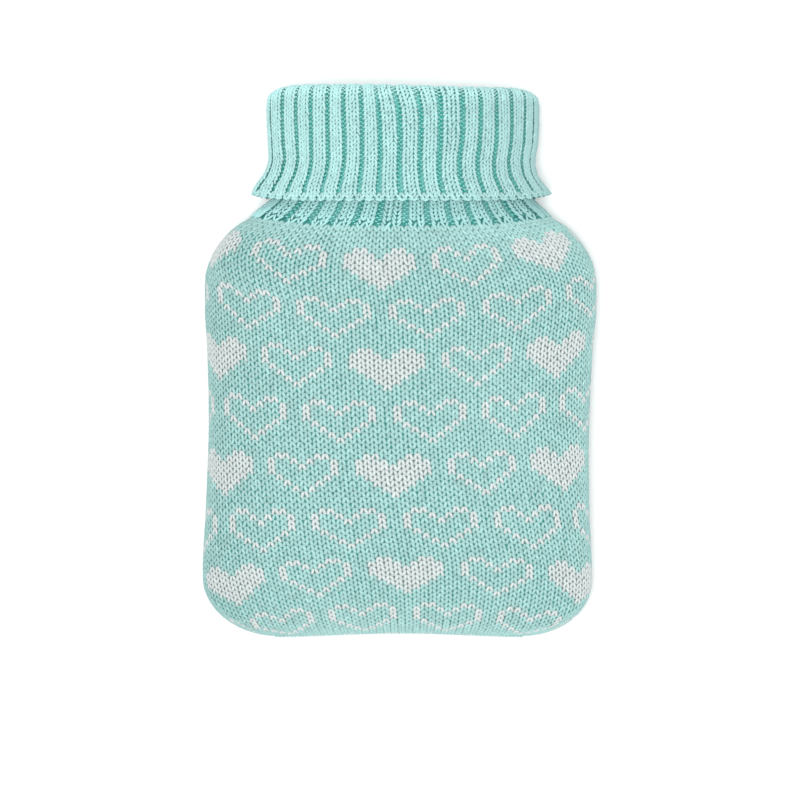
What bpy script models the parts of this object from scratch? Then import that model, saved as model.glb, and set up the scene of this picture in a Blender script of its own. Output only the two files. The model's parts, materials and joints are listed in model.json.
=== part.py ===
"""Knitted cover for a small hot water bottle, lying on its back and as full as when it holds the bottle.

Run it with: blender --background --python part.py

The cover is two shells of knitting. The body is a pouch, closed along its bottom edge. The ribbed collar
is a tube that leaves the body's neck, turns over at the top and comes down outside itself to a loose hem.
X runs across the face, Y from the bottom edge to the collar, and Z up out of the face. The tables are in
millimetres and the objects in metres, with the origin under the middle of the whole cover.
"""

import math
from typing import NamedTuple

import bmesh
import bpy

MM = 0.001

# Driving dimensions, in millimetres
BODY_WALL = 1.8  # stockinette with the second yarn carried behind it
RIB_WALL = 1.6
JOIN_HEIGHT = 127.4  # where the collar is linked to the body, up the middle of the face
JOIN_GAP = 0.4  # left between the two pieces of knitting
CORNER_WIDTH = 22.0  # the bottom corners are quarters of an ellipse this wide
CORNER_HEIGHT = 18.0
END_REACH = 31.0  # how far up from the bottom edge the filled pouch takes to reach its depth
END_BULGE = 2.5  # 2 would make that end an ellipse, and more is fuller
RIBS = 36
FOLD_RADIUS = 1.7  # of the middle of the cloth where the collar turns over
FOLD_HEIGHT = 167.8  # of the centre that it turns round

BODY_POINTS = 48  # points round each ring of the body
POINTS_A_RIB = 4
RIB_SHAPE = (-1.0, 0.5, 0.9, 0.5)  # groove, flank, crest, flank, as shares of the rib's height
RINGS_IN_END = 7
ROUNDNESS = 0.82  # below 1 a ring is fuller than an ellipse
SIDE_CROWDING = 0.12  # how much closer together the points lie in front than an even turn puts them


class Section(NamedTuple):
    """A ring round the cover, in millimetres."""

    height: float  # from the bottom edge, up the middle of the face
    half_width: float
    front: float  # rise of the face above the side line
    back: float  # drop of the back below the side line
    side_line: float  # height of the widest line above the surface
    lean: float  # drift of the middle towards +X
    lift: float  # how much higher the ring runs at its two sides
    lift_power: float  # how late along the width that lift comes
    rib: float = 0.0  # height of the ribs to each side of the cloth's middle
    rib_turn: float = 0.0  # where the ribs point: 0 outwards, 90 up, 180 to the inside of the tube


# The outside of the body, before its bottom end is rounded
BODY = (
    #       height  half   front  back  side  lean  lift  power
    Section(0.0, 60.2, 20.6, 19.0, 14.5, -0.1, 0.0, 2.0),
    Section(20.0, 60.5, 20.6, 19.2, 15.5, -0.8, 0.0, 2.0),
    Section(42.0, 59.5, 21.8, 20.0, 16.6, -0.7, 0.2, 2.0),
    Section(66.0, 59.1, 22.6, 20.4, 17.0, -0.3, 0.6, 2.0),
    Section(88.0, 59.9, 22.4, 20.2, 17.0, 0.0, 1.6, 2.0),
    Section(101.0, 60.8, 21.6, 19.6, 17.0, 0.2, 3.0, 2.0),
    Section(110.0, 60.1, 20.2, 18.8, 17.0, 0.2, 4.4, 2.2),
    Section(117.0, 56.5, 18.7, 17.8, 17.0, 0.2, 4.8, 2.4),
    Section(123.0, 51.5, 17.0, 16.5, 17.1, 0.3, 4.2, 2.7),
    Section(JOIN_HEIGHT - JOIN_GAP / 2, 46.5, 15.8, 15.6, 17.2, 0.3, 3.2, 3.0),
)
# The middle of the collar's cloth, first up the neck and then, past the fold, down the outside
NECK = (
    #       height  half   front  back  side  lean  lift  power  rib
    Section(JOIN_HEIGHT + JOIN_GAP / 2, 45.1, 14.9, 14.7, 17.2, 0.3, 3.2, 3.0, 0.1),
    Section(130.4, 41.7, 13.9, 13.7, 17.6, 0.5, 2.9, 3.0, 0.4),
    Section(134.0, 39.1, 12.7, 12.7, 18.0, 0.8, 1.9, 3.0, 0.5),
    Section(141.0, 37.5, 11.7, 11.7, 18.4, 0.9, 0.4, 3.0, 0.0),
)
FOLD = Section(FOLD_HEIGHT, 39.2, 13.3, 13.3, 18.5, 0.9, -1.8, 16.0, 0.45, 90.0)
CUFF = (
    Section(162.0, 41.1, 15.0, 15.0, 18.5, 0.9, -0.8, 10.0, 0.5),
    Section(153.0, 40.7, 15.1, 15.0, 18.5, 0.9, 0.0, 5.0, 0.5),
    Section(146.5, 40.3, 15.3, 15.1, 18.5, 0.5, 0.2, 5.0, 0.5),
    Section(142.0, 41.7, 15.8, 15.4, 18.5, 0.1, 0.4, 5.0, 0.5),
    Section(138.6, 43.9, 16.4, 15.8, 18.5, 0.0, 0.8, 5.0, 0.4),
    Section(135.3, 45.4, 17.0, 16.2, 18.5, 0.4, 0.9, 5.0, 0.1),
)
FOLD_TURNS = (180.0, 135.0, 90.0, 45.0, 0.0)  # round the fold, from inside the tube to outside it
TOP_WAVE = 0.5  # the turned edge rises on the left and falls on the right by this much
TOP_WAVE_TURN = 2.2  # how fast it does so, in radians over half the width
TOP_WAVE_START = 2.6


def clear_scene():
    for thing in list(bpy.data.objects):
        bpy.data.objects.remove(thing, do_unlink=True)


def wool(name, colour, roughness):
    """A plain yarn material."""
    material = bpy.data.materials.new(name)
    material.use_nodes = True
    shader = material.node_tree.nodes["Principled BSDF"]
    shader.inputs["Base Color"].default_value = (*colour, 1.0)
    shader.inputs["Roughness"].default_value = roughness
    shader.inputs["Metallic"].default_value = 0.0
    material.diffuse_color = (*colour, 1.0)
    return material


def slopes(rows):
    """How fast each column changes with the height, at each row."""
    found = []
    for index in range(len(rows)):
        low, high = rows[max(0, index - 1)], rows[min(len(rows) - 1, index + 1)]
        found.append([(b - a) / (high.height - low.height) for a, b in zip(low, high)])
    return found


def section_at(rows, height):
    """The section at a height, on a smooth curve through the rows."""
    above = next((i for i in range(1, len(rows)) if rows[i].height >= height), len(rows) - 1)
    low, high = rows[above - 1], rows[above]
    slope = slopes(rows)
    span = high.height - low.height
    t = (height - low.height) / span
    columns = []
    for a, b, rise_a, rise_b in zip(low, high, slope[above - 1], slope[above]):
        columns.append(
            (2 * t**3 - 3 * t**2 + 1) * a
            + (t**3 - 2 * t**2 + t) * span * rise_a
            + (3 * t**2 - 2 * t**3) * b
            + (t**3 - t**2) * span * rise_b
        )
    return Section(*columns)


def round_share(height, reach, bulge=2.0):
    """A quarter of an ellipse, or a fuller curve: 0 at the bottom edge, and 1 from the reach upwards."""
    left = max(0.0, 1.0 - height / reach)
    return math.sqrt(1.0 - left**bulge)


def body_section(height):
    """The body's outside at a height, with its bottom corners and bottom end rounded."""
    section = section_at(BODY, height)
    depth = round_share(height, END_REACH, END_BULGE)
    corner = CORNER_WIDTH * (1.0 - round_share(height, CORNER_HEIGHT))
    return section._replace(
        half_width=section.half_width - corner,
        front=section.front * depth,
        back=section.back * depth,
    )


def body_heights():
    """Heights of the rings: close together round the bottom end, then one at and one between the rows."""
    first = BODY[1].height
    turns = [math.pi / 2 * step / RINGS_IN_END for step in range(RINGS_IN_END)]
    heights = [first * (1.0 - math.cos(turn)) for turn in turns]
    for low, high in zip(BODY[1:], BODY[2:]):
        heights += [low.height, (low.height + high.height) / 2]
    return heights + [BODY[-1].height]


def ring_points(section, count, rib_shape=(0.0,)):
    """Points of one ring, from the +X side over the face to the other side and back under it."""
    points = []
    for index in range(count):
        even = 2.0 * math.pi * index / count
        turn = even + SIDE_CROWDING * math.sin(2.0 * even) / 2.0
        across, up = math.cos(turn), math.sin(turn)
        fullness = abs(up) ** ROUNDNESS
        depth = section.front * fullness if up > 0 else -section.back * fullness
        rib = section.rib * rib_shape[index % len(rib_shape)]
        outwards = rib * math.cos(math.radians(section.rib_turn))
        top = rib * math.sin(math.radians(section.rib_turn))
        facing = math.atan2(up * section.half_width, across * section.front) if section.front else 0.0
        x = section.lean + section.half_width * across + outwards * math.cos(facing)
        y = section.height + section.lift * abs(across) ** section.lift_power + top
        z = section.side_line + depth + outwards * math.sin(facing)
        points.append((x * MM, y * MM, max(0.0, z) * MM))
    return points


def loft(name, rings, material, wall, offset):
    """A shell of cloth through a list of rings, as thick as its wall."""
    mesh = bpy.data.meshes.new(name)
    shape = bmesh.new()
    before = None
    for ring in rings:
        corners = [shape.verts.new(point) for point in ring]
        edges = [shape.edges.new((a, b)) for a, b in zip(corners, corners[1:] + corners[:1])]
        if before:
            bmesh.ops.bridge_loops(shape, edges=before + edges)
        before = edges
    bmesh.ops.remove_doubles(shape, verts=shape.verts, dist=0.00001)
    bmesh.ops.recalc_face_normals(shape, faces=shape.faces)
    shape.to_mesh(mesh)
    shape.free()
    mesh.shade_smooth()
    mesh.materials.append(material)
    cloth = bpy.data.objects.new(name, mesh)
    thickness = cloth.modifiers.new("wall", "SOLIDIFY")
    thickness.thickness = wall * MM
    thickness.offset = offset
    thickness.use_rim = True
    return cloth


def knitted_body():
    """The pouch: rings up from the bottom edge, where front and back meet, with its wall inside them."""
    rings = [ring_points(body_section(height), BODY_POINTS) for height in body_heights()]
    return loft("knitted_body", rings, wool("mint_and_white_knit", (0.38, 0.68, 0.63), 0.9), BODY_WALL, -1.0)


def fold_sections():
    """The rings round the turned edge, on half a circle from the neck's cloth to the cuff's."""
    for turn in FOLD_TURNS:
        out = FOLD_RADIUS * math.cos(math.radians(turn))
        up = FOLD_RADIUS * math.sin(math.radians(turn))
        yield FOLD._replace(
            height=FOLD.height + up,
            half_width=FOLD.half_width + out,
            front=FOLD.front + out,
            back=FOLD.back + out,
            rib_turn=turn,
        )


def wavy(points):
    """The ring with its height rising and falling a little along the width."""
    widest = max(abs(x) for x, _, _ in points)
    return [
        (x, y + TOP_WAVE * MM * math.sin(TOP_WAVE_TURN * x / widest + TOP_WAVE_START), z)
        for x, y, z in points
    ]


def ribbed_collar():
    """The collar: up the neck, over the fold and down the outside, with its ribs raised in the cloth."""
    count = RIBS * POINTS_A_RIB
    rings = [ring_points(section, count, RIB_SHAPE) for section in NECK]
    rings += [wavy(ring_points(section, count, RIB_SHAPE)) for section in fold_sections()]
    rings += [ring_points(section, count, RIB_SHAPE) for section in CUFF]
    return loft("ribbed_collar", rings, wool("mint_rib", (0.42, 0.74, 0.70), 0.9), RIB_WALL, 0.0)


def stand_on_origin(pieces):
    """Moves the points of all the pieces so that the origin is under the middle of the cover."""
    points = [corner for piece in pieces for corner in piece.data.vertices]
    shift_x = (min(p.co.x for p in points) + max(p.co.x for p in points)) / 2
    low_y = min(p.co.y for p in points)
    high_y = max(p.co.y for p in points) + RIB_WALL / 2 * MM
    for point in points:
        point.co.x -= shift_x
        point.co.y -= (low_y + high_y) / 2


def main():
    clear_scene()
    cover = bpy.data.collections.new("hot_water_bottle_cover")
    bpy.context.scene.collection.children.link(cover)
    pieces = [knitted_body(), ribbed_collar()]
    stand_on_origin(pieces)
    for piece in pieces:
        cover.objects.link(piece)


main()
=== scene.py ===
"""Looks of a knitted hot water bottle cover, with every stitch as its own turns of yarn.

The cover lies on its back, as full as when it holds its bottle. Two thin sheets of cloth follow the
outsides of the two solids in the frame, and the stitches lie on them: V shaped pairs of legs in mint
and white on the body, and ribs of the same legs with sunken purl bars between them on the collar.
Lengths in the tables are in millimetres, and the meshes are in metres.
"""

import json
import logging
import math
from dataclasses import astuple, dataclass, field, replace
from enum import Enum
from typing import Iterable, Sequence

import bmesh
import bpy
import numpy as np
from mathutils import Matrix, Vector
from mathutils.kdtree import KDTree

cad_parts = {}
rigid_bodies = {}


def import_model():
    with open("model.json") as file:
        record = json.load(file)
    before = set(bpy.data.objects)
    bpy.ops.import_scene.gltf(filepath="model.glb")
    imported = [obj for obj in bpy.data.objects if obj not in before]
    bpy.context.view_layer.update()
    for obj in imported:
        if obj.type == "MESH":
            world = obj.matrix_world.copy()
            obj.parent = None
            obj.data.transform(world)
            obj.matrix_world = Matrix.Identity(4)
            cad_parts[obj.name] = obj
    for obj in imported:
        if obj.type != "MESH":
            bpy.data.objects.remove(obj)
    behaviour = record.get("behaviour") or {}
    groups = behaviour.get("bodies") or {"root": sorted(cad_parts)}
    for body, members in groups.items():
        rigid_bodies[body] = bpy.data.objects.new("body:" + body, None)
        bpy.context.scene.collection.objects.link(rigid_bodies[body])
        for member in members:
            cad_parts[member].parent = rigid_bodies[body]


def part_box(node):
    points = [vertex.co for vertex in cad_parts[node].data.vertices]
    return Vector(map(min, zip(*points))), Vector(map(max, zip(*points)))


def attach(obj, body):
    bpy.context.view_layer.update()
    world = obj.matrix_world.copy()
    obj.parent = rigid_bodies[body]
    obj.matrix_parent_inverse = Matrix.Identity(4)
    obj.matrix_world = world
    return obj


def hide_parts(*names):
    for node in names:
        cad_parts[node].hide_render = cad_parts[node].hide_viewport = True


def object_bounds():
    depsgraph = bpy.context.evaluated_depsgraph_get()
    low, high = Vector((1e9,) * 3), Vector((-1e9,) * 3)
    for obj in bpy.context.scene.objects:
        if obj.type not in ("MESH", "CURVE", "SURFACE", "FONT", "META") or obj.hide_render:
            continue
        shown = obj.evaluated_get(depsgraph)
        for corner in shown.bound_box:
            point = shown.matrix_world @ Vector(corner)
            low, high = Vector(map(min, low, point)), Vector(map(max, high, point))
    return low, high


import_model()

Colour = tuple[float, float, float]

LOG = logging.getLogger("knitted_cover")
MM = 0.001
CAD_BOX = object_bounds()

# The cloth's shape, as the solids have it. Lengths are in millimetres.
JOIN_HEIGHT = 127.4  # where the collar is knitted on to the body
JOIN_GAP = 0.4
CORNER_WIDTH = 22.0
CORNER_HEIGHT = 18.0
END_REACH = 31.0  # the face and the back are rounded off up to this height
END_BULGE = 2.5  # power of that curve, where 2 is an ellipse
ROUNDNESS = 0.82  # power of a ring's rise, where 1 is an ellipse
FOLD_RADIUS = 1.7
FOLD_HEIGHT = 167.8
TOP_WAVE = 0.5  # rise and fall of the fold along the cover's width
TOP_WAVE_TURN = 2.2  # the wave's angle from the middle to a side, in radians
TOP_WAVE_START = 2.6  # and in the middle
HOLLOW = 1.1  # rise of the bottom edge between its corners
HOLLOW_WIDTH = 38.0  # from the middle to where that rise ends
HOLLOW_REACH = 18.0  # height where it ends

COLLAR_PROUD = 1.25  # the ribs' crests stand this far out of the cloth's middle
BAKE_CELLS = 82  # turns of yarn along each side of a piece's colour map
CELL_MARGIN = 0.05  # of a cell of that map, left free round a turn's skin
MERGE_REACH = 0.01  # points of a cloth this close together become one, in millimetres
SEED = 20


@dataclass(frozen=True)
class Section:
    """A ring round the cover, in millimetres.

    Args:
        height: from the bottom edge, up the middle of the face.
        half_width: half of the ring's width.
        front: rise of the face above the side line.
        back: drop of the back below the side line.
        side_line: height of the widest line above the surface.
        lean: drift of the middle towards +X.
        lift: how much higher the ring runs at its two sides.
        lift_power: how late along the width that lift comes.
    """

    height: float
    half_width: float
    front: float
    back: float
    side_line: float
    lean: float
    lift: float
    lift_power: float

    def columns(self) -> np.ndarray:
        """The section as a row of numbers."""
        return np.array(astuple(self))

    def ring(self, turns: np.ndarray) -> np.ndarray:
        """Points of the ring.

        Args:
            turns: angles in radians, 0 at the +X side and a quarter turn in the middle of the face.

        Returns:
            One row of x, y, z for each angle, in millimetres.
        """
        across, up = np.cos(turns), np.sin(turns)
        fullness = np.abs(up) ** ROUNDNESS
        depth = np.where(up > 0, self.front * fullness, -self.back * fullness)
        x = self.lean + self.half_width * across
        y = self.height + self.lift * np.abs(across) ** self.lift_power
        z = np.maximum(0.0, self.side_line + depth)
        return np.stack([x, y, z], axis=-1)


BODY = (
    #       height  half   front  back  side  lean  lift  power
    Section(0.0, 60.2, 20.6, 19.0, 14.5, -0.1, 0.0, 2.0),
    Section(20.0, 60.5, 20.6, 19.2, 15.5, -0.8, 0.0, 2.0),
    Section(42.0, 59.5, 21.8, 20.0, 16.6, -0.7, 0.2, 2.0),
    Section(66.0, 59.1, 22.6, 20.4, 17.0, -0.3, 0.6, 2.0),
    Section(88.0, 59.9, 22.4, 20.2, 17.0, 0.0, 1.6, 2.0),
    Section(101.0, 60.8, 21.6, 19.6, 17.0, 0.2, 3.0, 2.0),
    Section(110.0, 60.1, 20.2, 18.8, 17.0, 0.2, 4.4, 2.2),
    Section(117.0, 56.5, 18.7, 17.8, 17.0, 0.2, 4.8, 2.4),
    Section(123.0, 51.5, 17.0, 16.5, 17.1, 0.3, 4.2, 2.7),
    Section(JOIN_HEIGHT - JOIN_GAP / 2, 46.5, 15.8, 15.6, 17.2, 0.3, 3.2, 3.0),
)
NECK = (
    Section(JOIN_HEIGHT + JOIN_GAP / 2, 45.1, 14.9, 14.7, 17.2, 0.3, 3.2, 3.0),
    Section(130.4, 41.7, 13.9, 13.7, 17.6, 0.5, 2.9, 3.0),
    Section(134.0, 39.1, 12.7, 12.7, 18.0, 0.8, 1.9, 3.0),
    Section(141.0, 37.5, 11.7, 11.7, 18.4, 0.9, 0.4, 3.0),
)
FOLD = Section(FOLD_HEIGHT, 39.2, 13.3, 13.3, 18.5, 0.9, -1.8, 16.0)
CUFF = (
    Section(162.0, 41.1, 15.0, 15.0, 18.5, 0.9, -0.8, 10.0),
    Section(153.0, 40.7, 15.1, 15.0, 18.5, 0.9, 0.0, 5.0),
    Section(146.5, 40.3, 15.3, 15.1, 18.5, 0.5, 0.2, 5.0),
    Section(142.0, 41.7, 15.8, 15.4, 18.5, 0.1, 0.4, 5.0),
    Section(138.6, 43.9, 16.4, 15.8, 18.5, 0.0, 0.8, 5.0),
    Section(135.3, 45.4, 17.0, 16.2, 18.5, 0.4, 1.9, 7.0),
)


def smooth_curve(keys: Sequence[float], table: np.ndarray, wanted: np.ndarray) -> np.ndarray:
    """Values on a smooth curve through known ones.

    Args:
        keys: where each known value lies along the curve, rising.
        table: the known values, one or a row of them for each key.
        wanted: the places that are asked for.

    Returns:
        A value, or a row of them, for each place.
    """
    keys, table, wanted = (np.asarray(part, float) for part in (keys, table, wanted))
    rise = np.gradient(table, keys, axis=0)
    above = np.clip(np.searchsorted(keys, wanted), 1, len(keys) - 1)
    span = (keys[above] - keys[above - 1]).reshape(above.shape + (1,) * (table.ndim - 1))
    t = (wanted - keys[above - 1]).reshape(span.shape) / span
    return (
        (2 * t**3 - 3 * t**2 + 1) * table[above - 1]
        + (t**3 - 2 * t**2 + t) * span * rise[above - 1]
        + (3 * t**2 - 2 * t**3) * table[above]
        + (t**3 - t**2) * span * rise[above]
    )


def smooth_between(
    rows: Sequence[Section], keys: Sequence[float], wanted: Iterable[float]
) -> list[Section]:
    """Sections on a smooth curve through rows, which lie at rising keys."""
    table = np.array([row.columns() for row in rows])
    return [Section(*columns) for columns in smooth_curve(keys, table, np.array(list(wanted)))]


def round_share(height: float, reach: float, bulge: float = 2.0) -> float:
    """A quarter of an ellipse, or a fuller curve: 0 at the bottom edge and 1 from the reach up."""
    left = max(0.0, 1.0 - height / reach)
    return math.sqrt(1.0 - left**bulge)


class KnitSurface:
    """The outside of a tube of cloth on a fine grid, from which stitches take their places."""

    def __init__(self, rings: np.ndarray, across: np.ndarray, flip: bool = False) -> None:
        """Measures the grid.

        Args:
            rings: points as [row, column, xyz] in millimetres. Columns start in the middle of the
                face and run towards +X and round the back.
            across: for each point, how far it lies across the width, from -1 to 1.
            flip: True if the side that shows is the other one.
        """
        self.grid = np.concatenate([rings, across[..., None]], axis=-1)
        down = np.gradient(rings, axis=0)
        side = (np.roll(rings, -1, axis=1) - np.roll(rings, 1, axis=1)) / 2
        normal = np.cross(down, side) * (-1.0 if flip else 1.0)
        self.normals = normal / np.maximum(1e-9, np.linalg.norm(normal, axis=-1, keepdims=True))
        steps = np.linalg.norm(np.diff(rings[:, 0], axis=0), axis=-1)
        self.lengths = np.concatenate([[0.0], np.cumsum(steps)])

    def row_at(self, length: np.ndarray) -> np.ndarray:
        """The row, as a fraction, at a length down the middle of the face, in millimetres."""
        return np.interp(length, self.lengths, np.arange(len(self.lengths)))

    def _mix(self, values: np.ndarray, row: np.ndarray, share: np.ndarray) -> np.ndarray:
        """Values between the points of the grid, mixed from the four round each.

        Args:
            values: one row of numbers for each [row, column].
            row: rows of the grid, as fractions.
            share: how far round from the middle of the face, from 0 to 1.

        Returns:
            One row of numbers for each place.
        """
        rows, columns = values.shape[:2]
        row = np.clip(row, 0.0, rows - 1.001)
        column = (share % 1.0) * columns
        r, c = np.floor(row).astype(int), np.floor(column).astype(int) % columns
        fr, fc = (row - r)[..., None], (column - np.floor(column))[..., None]
        after = (c + 1) % columns
        top = values[r, c] * (1 - fc) + values[r, after] * fc
        low = values[r + 1, c] * (1 - fc) + values[r + 1, after] * fc
        return top * (1 - fr) + low * fr

    def place(self, row: np.ndarray, share: np.ndarray) -> tuple[np.ndarray, np.ndarray]:
        """Points and outward normals.

        Args:
            row: rows of the grid, as fractions.
            share: how far round from the middle of the face, from 0 to 1.

        Returns:
            The points, with across as a fourth number, and the normals.
        """
        normal = self._mix(self.normals, row, share)
        normal /= np.maximum(1e-9, np.linalg.norm(normal, axis=-1, keepdims=True))
        return self._mix(self.grid, row, share), normal


class Heart(Enum):
    """Charts of the two hearts, a letter for each stitch and the top row first."""

    OUTLINE = (
        ".XX...XX.",
        "X..X.X..X",
        "X...X...X",
        "X.......X",
        ".X.....X.",
        "..X...X..",
        "...X.X...",
        "....X....",
    )
    FILLED = (
        ".XX...XX.",
        "XXXX.XXXX",
        "XXXXXXXXX",
        "XXXXXXXXX",
        ".XXXXXXX.",
        "..XXXXX..",
        "...XXX...",
        "....X....",
    )


@dataclass(frozen=True)
class HeartPattern:
    """Rows of hearts: filled and outlined ones by turns, then a shifted row of outlined ones."""

    wales: int = 110  # round the body
    pitch: int = 11  # wales from heart to heart
    first_course: int = 4  # of the first row of filled and outlined hearts
    repeat: int = 20  # courses from one such row to the next
    second_row: int = 10  # courses from such a row to the shifted one below it
    shift: int = 5  # of the shifted rows, in wales

    def chart(self, courses: int) -> np.ndarray:
        """Which stitches are white.

        Args:
            courses: how many courses the body has.

        Returns:
            True or False for each [course, wale], where wale 0 is in the middle of a filled heart.
        """
        white = np.zeros((courses, self.wales), bool)
        for top in range(self.first_course, courses, self.repeat):
            for number in range(self.wales // self.pitch):
                heart = Heart.OUTLINE if number % 2 else Heart.FILLED
                middle = number * self.pitch
                self._knit(white, heart, top, middle)
                self._knit(white, Heart.OUTLINE, top + self.second_row, middle + self.shift)
        return white

    def _knit(self, white: np.ndarray, heart: Heart, top: int, middle: int) -> None:
        """Marks the stitches of one heart, as far as the body reaches.

        Args:
            white: True or False for each [course, wale], which this changes.
            heart: the chart to follow.
            top: course of its top row.
            middle: wale of its middle.
        """
        for down, line in enumerate(heart.value):
            for across, letter in enumerate(line):
                if letter == "X" and top + down < len(white):
                    white[top + down, (middle + across - len(line) // 2) % self.wales] = True


@dataclass
class Turns:
    """Short turns of yarn, each on a path of a few points.

    Args:
        points: [turn, point, xyz] in millimetres.
        normals: the way out of the cloth at each point.
        widths: half of the yarn's width at each point.
        sunk: how deep each point lies in the cloth, from 0 to 1, which sets its painted shade.
        tone: a shade for each turn, paler above 0 and deeper below it, from random differences and
            from painted light and shade.
        kept: whether the surface has room for each turn.
    """

    points: np.ndarray
    normals: np.ndarray
    widths: np.ndarray
    sunk: np.ndarray
    tone: np.ndarray
    kept: np.ndarray | None = None

    def __len__(self) -> int:
        """How many turns there are."""
        return len(self.points)

    def pick(self, which: np.ndarray) -> "Turns":
        """The turns that are asked for."""
        return Turns(*(values[which] for values in vars(self).values()))

    def joined(self, other: "Turns") -> "Turns":
        """These turns and the other ones."""
        pairs = zip(vars(self).values(), vars(other).values())
        return Turns(*(np.concatenate(pair) for pair in pairs))


class YarnTurn:
    """The small spindle that every turn of yarn is bent from."""

    AROUND = 5
    ALONG = 4  # steps from tip to tip
    FLATNESS = 0.82
    SKIN_WIDTH = 1.2  # of its unrolled skin, in whole ways round, because some faces reach past one

    def __init__(self) -> None:
        """Makes the spindle from a sphere and notes its points, faces and the map of its skin."""
        shape = bmesh.new()
        bmesh.ops.create_uvsphere(shape, u_segments=self.AROUND, v_segments=self.ALONG, radius=1.0)
        bmesh.ops.triangulate(shape, faces=shape.faces)
        shape.verts.ensure_lookup_table()
        places = np.array([vert.co for vert in shape.verts])
        self.faces = np.array([[vert.index for vert in face.verts] for face in shape.faces])
        shape.free()
        latitude = np.arccos(np.clip(places[:, 2], -1.0, 1.0))
        self.step = np.rint(latitude / math.pi * self.ALONG).astype(int)
        self.angle = np.arctan2(places[:, 1], places[:, 0]) % (2 * math.pi)
        self.on_tip = (self.step == 0) | (self.step == self.ALONG)
        self.skin = self._skin_map()

    def _skin_map(self) -> np.ndarray:
        """Unrolls the yarn's skin.

        Returns:
            Where each corner of each face lies on it, as [face, corner, along and around].
        """
        around = self.angle[self.faces] / (2 * math.pi)
        tips = self.on_tip[self.faces]
        for face, tip in zip(around, tips):
            low = face[~tip].min()
            face[~tip] = np.where(face[~tip] - low > 0.5, face[~tip] - 1.0, face[~tip])
            face[tip] = face[~tip].mean()
        around = np.where(around.mean(axis=1, keepdims=True) < 0, around + 1.0, around)
        along = self.step[self.faces] / self.ALONG
        around = np.clip(around, 0.0, self.SKIN_WIDTH) / self.SKIN_WIDTH
        return np.stack([along, around], axis=-1)

    def bend(self, turns: Turns) -> np.ndarray:
        """Points of all the spindles.

        Args:
            turns: the turns to make, with one more point each than there are steps.

        Returns:
            [turn, vertex, xyz] in millimetres.
        """
        tangent = np.gradient(turns.points, axis=1)
        side = np.cross(tangent, turns.normals)
        side /= np.maximum(1e-9, np.linalg.norm(side, axis=-1, keepdims=True))
        out = np.cross(side, tangent)
        out /= np.maximum(1e-9, np.linalg.norm(out, axis=-1, keepdims=True))
        width = turns.widths[:, self.step, None] * ~self.on_tip[None, :, None]
        return (
            turns.points[:, self.step]
            + side[:, self.step] * width * np.cos(self.angle)[None, :, None]
            + out[:, self.step] * width * self.FLATNESS * np.sin(self.angle)[None, :, None]
        )


TURN = YarnTurn()


def mesh_of_turns(name: str, turns: Turns) -> bpy.types.Object:
    """Joins turns of yarn into one mesh.

    Args:
        name: the piece's name.
        turns: its turns of yarn, at most BAKE_CELLS squared.

    Returns:
        The piece, with its skin map and the attributes tone and sunk.
    """
    count, size = len(turns), len(TURN.step)
    points = (TURN.bend(turns) * MM + ORIGIN).reshape(-1, 3)
    faces = (TURN.faces[None] + size * np.arange(count)[:, None, None]).reshape(-1, 3)
    mesh = bpy.data.meshes.new(name)
    mesh.vertices.add(len(points))
    mesh.vertices.foreach_set("co", points.astype(np.float32).ravel())
    mesh.loops.add(faces.size)
    mesh.loops.foreach_set("vertex_index", faces.astype(np.int32).ravel())
    mesh.polygons.add(len(faces))
    mesh.polygons.foreach_set("loop_start", np.arange(0, faces.size, 3, dtype=np.int32))
    mesh.update(calc_edges=True)
    mesh.shade_smooth()
    cells = np.stack([np.arange(count) % BAKE_CELLS, np.arange(count) // BAKE_CELLS], axis=-1)
    inner = CELL_MARGIN + (1.0 - 2 * CELL_MARGIN) * TURN.skin[None]
    skin = (cells[:, None, None] + inner) / BAKE_CELLS
    layer = mesh.uv_layers.new(name="OFBake")
    layer.uv.foreach_set("vector", skin.astype(np.float32).ravel())
    # tone carries random differences and painted light and shade; sunk carries painted shade in the
    # recesses
    for label, values in (
        ("tone", np.repeat(turns.tone, size)),
        ("sunk", turns.sunk[:, TURN.step].ravel()),
    ):
        attribute = mesh.attributes.new(label, "FLOAT", "POINT")
        attribute.data.foreach_set("value", values.astype(np.float32))
    return new_object(name, mesh)


def new_object(name: str, mesh: bpy.types.Mesh) -> bpy.types.Object:
    """Puts a mesh in the scene.

    Args:
        name: of the new piece.
        mesh: its shape, in metres.

    Returns:
        The piece, at the origin.
    """
    piece = bpy.data.objects.new(name, mesh)
    bpy.context.scene.collection.objects.link(piece)
    return piece


def sheet_mesh(
    name: str,
    rings: Sequence[np.ndarray],
    shades: Sequence[np.ndarray],
    wall: float,
    offset: float = -1.0,
) -> bpy.types.Object:
    """A thin cloth through a list of rings.

    Args:
        name: the piece's name.
        rings: points of each ring in millimetres.
        shades: for each ring, how white the yarn over each point is, or on the collar, how far each
            point lies from a groove's painted shade.
        wall: the cloth's thickness in millimetres.
        offset: where the wall lies, -1 inside the rings and 0 on both sides of them.

    Returns:
        The piece, with its wall as a modifier.
    """
    shape = bmesh.new()
    white = shape.verts.layers.float.new("white")
    before: list[bmesh.types.BMEdge] = []
    for ring, shade in zip(rings, shades):
        corners = [shape.verts.new(Vector(point * MM) + Vector(ORIGIN)) for point in ring]
        for corner, value in zip(corners, shade):
            corner[white] = float(value)
        edges = [shape.edges.new(pair) for pair in zip(corners, corners[1:] + corners[:1])]
        if before:
            bmesh.ops.bridge_loops(shape, edges=before + edges)
        before = edges
    bmesh.ops.remove_doubles(shape, verts=shape.verts, dist=MERGE_REACH * MM)
    bmesh.ops.recalc_face_normals(shape, faces=shape.faces)
    mesh = bpy.data.meshes.new(name)
    shape.to_mesh(mesh)
    shape.free()
    mesh.shade_smooth()
    piece = new_object(name, mesh)
    thickness = piece.modifiers.new("wall", "SOLIDIFY")
    thickness.thickness = wall * MM
    thickness.offset = offset
    return piece


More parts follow.
